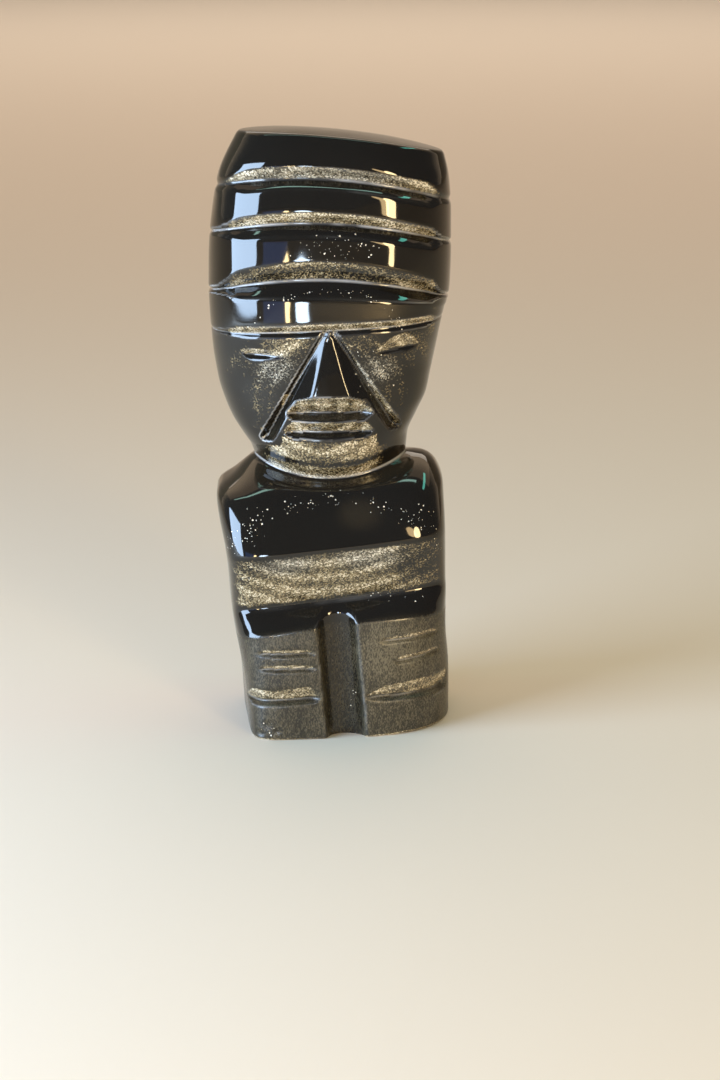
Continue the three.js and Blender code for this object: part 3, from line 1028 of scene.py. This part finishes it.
@dataclass(frozen=True)
class Flecks:
    """Single pale flecks in dark glass.

    Attributes:
        name: The node group's name.
    """

    name: str = "flecks"

    def make(self) -> bpy.types.NodeTree:
        """Build the node group.

        Returns:
            A group with the inputs Vector, Spacing and Density, and the output Mask from 0 to 1.
        """
        sockets = {"Vector": "NodeSocketVector", "Spacing": "NodeSocketFloat", "Density": "NodeSocketFloat"}
        graph, entry, end = node_group(self.name, sockets, {"Mask": "NodeSocketFloat"})
        scale = graph.math("DIVIDE", 1.0, entry["Spacing"])
        cells = graph.add("ShaderNodeTexVoronoi", {"Vector": entry["Vector"], "Scale": scale})
        tone = graph.add("ShaderNodeSeparateColor", {0: cells.outputs["Color"]})
        chosen = graph.math("LESS_THAN", tone.outputs[0], entry["Density"])
        size = graph.math("MULTIPLY", graph.math("POWER", tone.outputs[1], 3.0), 0.26)
        reach = graph.math("ADD", size, 0.12)
        inside = graph.math("LESS_THAN", cells.outputs["Distance"], reach)
        graph.feed(end["Mask"], graph.math("MULTIPLY", chosen, inside))
        return graph.tree


@dataclass(frozen=True)
class FlowLayers:
    """The layers in which the glass once flowed, like the shells of an onion about the figure's face.

    Attributes:
        name: The node group's name.
        centre: The middle of the shells, in metres.
    """

    name: str = "flow_layers"
    centre: tuple[float, float, float] = (-0.0016, 0.0, 0.068)

    def make(self) -> bpy.types.NodeTree:
        """Build the node group.

        Returns:
            A group with the inputs Vector, Spacing and Wander, and the output Layer from 0 to 1.
        """
        sockets = {"Vector": "NodeSocketVector", "Spacing": "NodeSocketFloat", "Wander": "NodeSocketFloat"}
        graph, entry, end = node_group(self.name, sockets, {"Layer": "NodeSocketFloat"})
        away = graph.add("ShaderNodeVectorMath", {0: entry["Vector"], 1: self.centre}, operation="SUBTRACT")
        flat = graph.add("ShaderNodeVectorMath", {0: away.outputs[0], 1: (1.0, 0.0, 1.0)}, operation="MULTIPLY")
        radius = graph.add("ShaderNodeVectorMath", {0: flat.outputs[0]}, operation="LENGTH").outputs["Value"]
        slow = graph.add("ShaderNodeTexNoise", {"Vector": entry["Vector"], "Scale": 90.0, "Detail": 3.0}).outputs[0]
        moved = graph.math("MULTIPLY", graph.math("SUBTRACT", slow, 0.5), entry["Wander"])
        turns = graph.math("DIVIDE", graph.math("ADD", radius, moved), entry["Spacing"])
        wave = graph.math("SINE", graph.math("MULTIPLY", turns, 2.0 * math.pi))
        graph.feed(end["Layer"], graph.math("ADD", graph.math("MULTIPLY", wave, 0.5), 0.5))
        return graph.tree


@dataclass(frozen=True)
class PolishedGlass:
    """The stone's finish: black glass with a gold sheen painted into its colour where its faces look down, painted
    reflections, shade and highlights, and satin legs.

    Attributes:
        name: The material's name.
        black: The colour of the clear glass.
        gold: Colours of the sheen's grains, from the darkest.
        silver: The same where the sheen is silver.
        satin: Colours of the ground faces of the legs, from the darkest.
        haze: Colour of the painted reflections and faint sheen, a grey-brown.
        fleck: Colour of the pale flecks.
        glint_highlight: Colour of the painted highlights, thin light lines along the edges and creases.
    """

    name: str = "polished_black_glass"
    black: Colour = (0.0075, 0.0065, 0.005)
    gold: tuple[tuple[float, Colour], ...] = (
        (0.0, (0.006, 0.005, 0.003)),
        (0.25, (0.045, 0.034, 0.016)),
        (0.5, (0.17, 0.13, 0.068)),
        (0.75, (0.42, 0.345, 0.21)),
        (1.0, (0.82, 0.73, 0.55)),
    )
    silver: tuple[tuple[float, Colour], ...] = (
        (0.0, (0.006, 0.006, 0.005)),
        (0.25, (0.045, 0.041, 0.031)),
        (0.5, (0.17, 0.157, 0.125)),
        (0.75, (0.42, 0.39, 0.32)),
        (1.0, (0.84, 0.8, 0.7)),
    )
    satin: tuple[tuple[float, Colour], ...] = (
        (0.2, (0.01, 0.008, 0.0045)),
        (0.5, (0.034, 0.0275, 0.0155)),
        (0.8, (0.115, 0.097, 0.06)),
    )
    haze: Colour = (0.08, 0.058, 0.031)
    fleck: Colour = (0.72, 0.66, 0.54)
    glint_highlight: Colour = (0.8, 0.78, 0.76)

    def make(self) -> bpy.types.Material:
        """Build the material.

        Returns:
            The material, which reads the stone's own coordinates and its zones.
        """
        material = bpy.data.materials.new(self.name)
        material.use_nodes = True
        graph = Graph(material.node_tree)
        place = graph.add("ShaderNodeTexCoord").outputs["Object"]
        grain_tree, fleck_tree, layer_tree = MineralGrain().make(), Flecks().make(), FlowLayers().make()
        sheen, satin, haze, flecks, silver, glint = (graph.attribute(zone) for zone in (
            Zone.SHEEN, Zone.SATIN, Zone.HAZE, Zone.FLECKS, Zone.SILVER, Zone.GLINT,
        ))

        # Painted sheen: gold or silver grains, banded by the flow layers, where the sheen zone is strong.
        layer = graph.group(layer_tree, {"Vector": place, "Spacing": 0.0031, "Wander": 0.0016})
        metal = graph.group(grain_tree, {
            "Vector": place, "Grain size": 0.00026, "Cloud size": 0.006, "Share": graph.math("MULTIPLY", sheen, 1.3),
        })
        banded = graph.math("MULTIPLY", graph.math("SUBTRACT", layer, 0.5), 0.28)
        weighted = graph.math("ADD", metal, graph.math("MULTIPLY", graph.math("SUBTRACT", sheen, 1.0), 0.65))
        glow = graph.math("ADD", graph.math("ADD", weighted, banded), 0.07, clamp=True)
        shine = graph.mix(silver, graph.ramp(glow, self.gold), graph.ramp(glow, self.silver))

        streaked = graph.add("ShaderNodeMapping", {"Vector": place, "Scale": (1.0, 1.0, 0.4)}).outputs[0]
        ground = graph.group(grain_tree, {
            "Vector": streaked, "Grain size": 0.00015, "Cloud size": 0.0035, "Share": 1.0,
        })
        # The painted reflection also lightens the satin, on the right leg.
        lifted = graph.math("ADD", ground, graph.math("MULTIPLY", haze, 0.16))
        satin_colour = graph.ramp(lifted, self.satin)

        # Painted reflections in grey-brown over the black glass.
        colour = graph.mix(haze, (*self.black, 1.0), (*self.haze, 1.0))
        colour = graph.mix(satin, colour, satin_colour)
        colour = graph.mix(graph.math("MULTIPLY", glow, 12.0, clamp=True), colour, shine)
        dotted = graph.group(fleck_tree, {
            "Vector": place, "Spacing": 0.0005, "Density": graph.math("MULTIPLY", flecks, 0.75),
        })
        colour = graph.mix(dotted, colour, (*self.fleck, 1.0))
        # Painted highlights: thin light lines on the sharpest edges and creases, broken into patches.
        patchy = graph.add("ShaderNodeTexNoise", {"Vector": place, "Scale": 110.0, "Detail": 2.0}).outputs[0]
        lit = graph.add("ShaderNodeMapRange", {"Value": patchy, "From Min": 0.4, "From Max": 0.62}).outputs[0]
        edge = graph.math("MULTIPLY", glint, graph.math("ADD", graph.math("MULTIPLY", lit, 0.4), 0.06))
        colour = graph.mix(edge, colour, (*self.glint_highlight, 1.0))

        wear = graph.add("ShaderNodeTexNoise", {"Vector": place, "Scale": 160.0, "Detail": 4.0}).outputs[0]
        clear = graph.math("ADD", graph.math("MULTIPLY", wear, 0.06), 0.02)
        dull = graph.math("MULTIPLY", graph.math("ADD", satin, graph.math("MULTIPLY", glow, 0.8)), 0.36)
        roughness = graph.math("ADD", clear, dull, clamp=True)
        rough = graph.math("MULTIPLY", ground, graph.math("ADD", satin, graph.math("MULTIPLY", sheen, 0.3)))
        bump = graph.add("ShaderNodeBump", {"Height": rough, "Strength": 0.25, "Distance": 0.00008})
        shader = graph.add(
            "ShaderNodeBsdfPrincipled",
            {
                "Base Color": colour,
                "Roughness": roughness,
                "Metallic": graph.math("MULTIPLY", glow, 0.35),
                "IOR": 1.55,
                "Normal": bump.outputs[0],
                "Coat Weight": graph.math("MULTIPLY", sheen, 0.6),
                "Coat Roughness": 0.08,
            },
        )
        end = graph.add("ShaderNodeOutputMaterial")
        graph.tree.links.new(shader.outputs[0], end.inputs[0])
        return material


@dataclass(frozen=True)
class Lamp:
    """One light of the studio, in millimetres from the stone's middle.

    Attributes:
        name: The light's name.
        place: Where it hangs.
        target: What it points at.
        size: Its width and height.
        power: Its strength in watts.
        colour: Its colour.
        roll: How far it is turned about the line to its target, in degrees.
        shape: Its outline.
    """

    name: str
    place: tuple[float, float, float]
    target: tuple[float, float, float]
    size: Pair
    power: float
    colour: Colour
    roll: float = 0.0
    shape: LampShape = LampShape.PANEL

    def make(self) -> bpy.types.Object:
        """Hang the light.

        Returns:
            The light object.
        """
        light = bpy.data.lights.new(self.name, "AREA")
        light.shape = self.shape.value
        light.size, light.size_y = (side * MM for side in self.size)
        light.energy = self.power
        light.color = self.colour
        lamp = bpy.data.objects.new(self.name, light)
        place = np.array(self.place) * MM
        toward = np.array(self.target) * MM - place
        lamp.location = place
        turned = Quaternion((0.0, 0.0, 1.0), math.radians(self.roll))
        lamp.rotation_euler = (Vector(toward).to_track_quat("-Z", "Y") @ turned).to_euler()
        lamp.visible_camera = False
        bpy.context.scene.collection.objects.link(lamp)
        return lamp


@dataclass(frozen=True)
class Studio:
    """The plain pale floor, the soft lights and the camera.

    Attributes:
        floor_colour: Colour of the floor.
        dark: Colour of the room before the stone.
        bright: Colour of the wall behind it.
        lens: Focal length of the camera.
        film: The long side of its picture.
        camera: Its place before the stone, in the stone's own axes.
        pitch: How far it looks down, in degrees.
        lamps: The lights.
    """

    floor_colour: Colour = (0.79, 0.705, 0.6)
    dark: Colour = (0.12, 0.12, 0.13)
    bright: Colour = (0.82, 0.64, 0.46)
    lens: float = 50.0
    film: float = 22.3
    camera: tuple[float, float, float] = (6.06, -480.2, 165.25)
    pitch: float = 15.0
    lamps: tuple[Lamp, ...] = (
        Lamp("window", (-371, -218, 136), (0, -10, 136), (280, 257), 4.1, (0.55, 0.74, 1.0)),
        Lamp("blue_cloth", (-190, -400, 40), (0, -10, 90), (150, 80), 0.04, (0.15, 0.35, 1.0)),
        Lamp("lamp", (294, -538, 125), (0, -10, 100), (92, 215), 1.5, (1.0, 0.76, 0.4), 12.0, LampShape.GLOBE),
        Lamp("shade", (226, -568, 150), (0, -10, 100), (74, 200), 0.4, (1.0, 0.7, 0.34), 30.0, LampShape.GLOBE),
        Lamp("candle", (-96, -336, 42), (0, -10, 90), (22, 56), 0.11, (1.0, 0.74, 0.36), 0.0, LampShape.GLOBE),
        Lamp("far_window", (-48, -346, 36), (0, -10, 90), (38, 56), 0.17, (0.66, 0.82, 1.0), 0.0, LampShape.GLOBE),
        Lamp("tube", (-120, -60, 900), (-120, -60, 0), (900, 45), 0.75, (0.6, 1.0, 0.85)),
        Lamp("green_glass", (330, 20, 540), (0, 0, 60), (240, 40), 0.2, (0.2, 0.95, 0.75)),
        Lamp("ceiling", (0, 800, 1400), (0, 800, 0), (2600, 1500), 7.5, (1.0, 0.7, 0.45)),
        Lamp("backdrop", (0, 2600, 1800), (0, 2900, 0), (2600, 1800), 34.0, (1.0, 0.86, 0.71)),
    )

    def floor(self) -> bpy.types.Object:
        """Lay the floor, which sweeps up behind the stone.

        Returns:
            The floor.
        """
        half_width, near, far, radius, top = 8000.0, -6000.0, 3500.0, 1500.0, 5000.0
        bend = np.linspace(0.0, math.pi / 2, 25)
        section = [(near, 0.0), *zip(far + radius * np.sin(bend), radius * (1.0 - np.cos(bend)))]
        section.append((far + radius, top))
        points = [(x * MM, y * MM, z * MM) for y, z in section for x in (-half_width, half_width)]
        faces = [(2 * k, 2 * k + 1, 2 * k + 3, 2 * k + 2) for k in range(len(section) - 1)]
        mesh = bpy.data.meshes.new("floor")
        mesh.from_pydata(points, [], faces)
        mesh.polygons.foreach_set("use_smooth", np.ones(len(faces), bool))
        mesh.materials.append(self.floor_material())
        floor = bpy.data.objects.new("floor", mesh)
        bpy.context.scene.collection.objects.link(floor)
        return floor

    def floor_material(self) -> bpy.types.Material:
        """Make the floor's plain pale finish."""
        material = bpy.data.materials.new("pale_floor")
        material.use_nodes = True
        graph = Graph(material.node_tree)
        values = {"Base Color": (*self.floor_colour, 1.0), "Roughness": 0.9}
        shader = graph.add("ShaderNodeBsdfPrincipled", values)
        end = graph.add("ShaderNodeOutputMaterial")
        graph.tree.links.new(shader.outputs[0], end.inputs[0])
        return material

    def surroundings(self) -> None:
        """Light the scene softly from behind, and leave the room before the stone dark."""
        world = bpy.data.worlds.new("room")
        world.use_nodes = True
        graph = Graph(world.node_tree)
        direction = graph.add("ShaderNodeTexCoord").outputs["Generated"]
        depth = graph.add("ShaderNodeSeparateXYZ", {0: direction}).outputs["Y"]
        share = graph.add("ShaderNodeMapRange", {"Value": depth, "From Min": 0.2, "From Max": 0.5})
        colour = graph.mix(share.outputs[0], (*self.dark, 1.0), (*self.bright, 1.0))
        background = graph.add("ShaderNodeBackground", {"Color": colour})
        end = graph.add("ShaderNodeOutputWorld")
        graph.tree.links.new(background.outputs[0], end.inputs[0])
        bpy.context.scene.world = world

    def place_camera(self, shift: np.ndarray) -> bpy.types.Object:
        """Set the camera up where the photograph was taken.

        Args:
            shift: The level move from the stone's own axes to the frame.

        Returns:
            The camera.
        """
        data = bpy.data.cameras.new("camera")
        data.lens = self.lens
        data.sensor_width = self.film
        data.clip_start, data.clip_end = 0.02, 50.0
        camera = bpy.data.objects.new("camera", data)
        camera.location = (np.array(self.camera) + shift) * MM
        camera.rotation_euler = (math.radians(90.0 - self.pitch), 0.0, 0.0)
        bpy.context.scene.collection.objects.link(camera)
        bpy.context.scene.camera = camera
        return camera

    def build(self, shift: np.ndarray) -> None:
        """Set up the floor, the lights and the camera.

        Args:
            shift: The level move from the stone's own axes to the frame.
        """
        self.floor()
        self.surroundings()
        bpy.context.scene.view_settings.view_transform = "Standard"
        for lamp in self.lamps:
            lamp.make()
        self.place_camera(shift)
        log.info("studio: %d lights", len(self.lamps))


def main() -> None:
    """Build the stone and the studio."""
    logging.basicConfig(level=logging.INFO, format="%(name)s: %(message)s")
    figure = StoneFigure()
    stone = figure.build(PolishedGlass().make())
    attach(stone, "root")
    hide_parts(NODE)
    Studio().build(figure.shift)


if __name__ == "__main__":
    main()
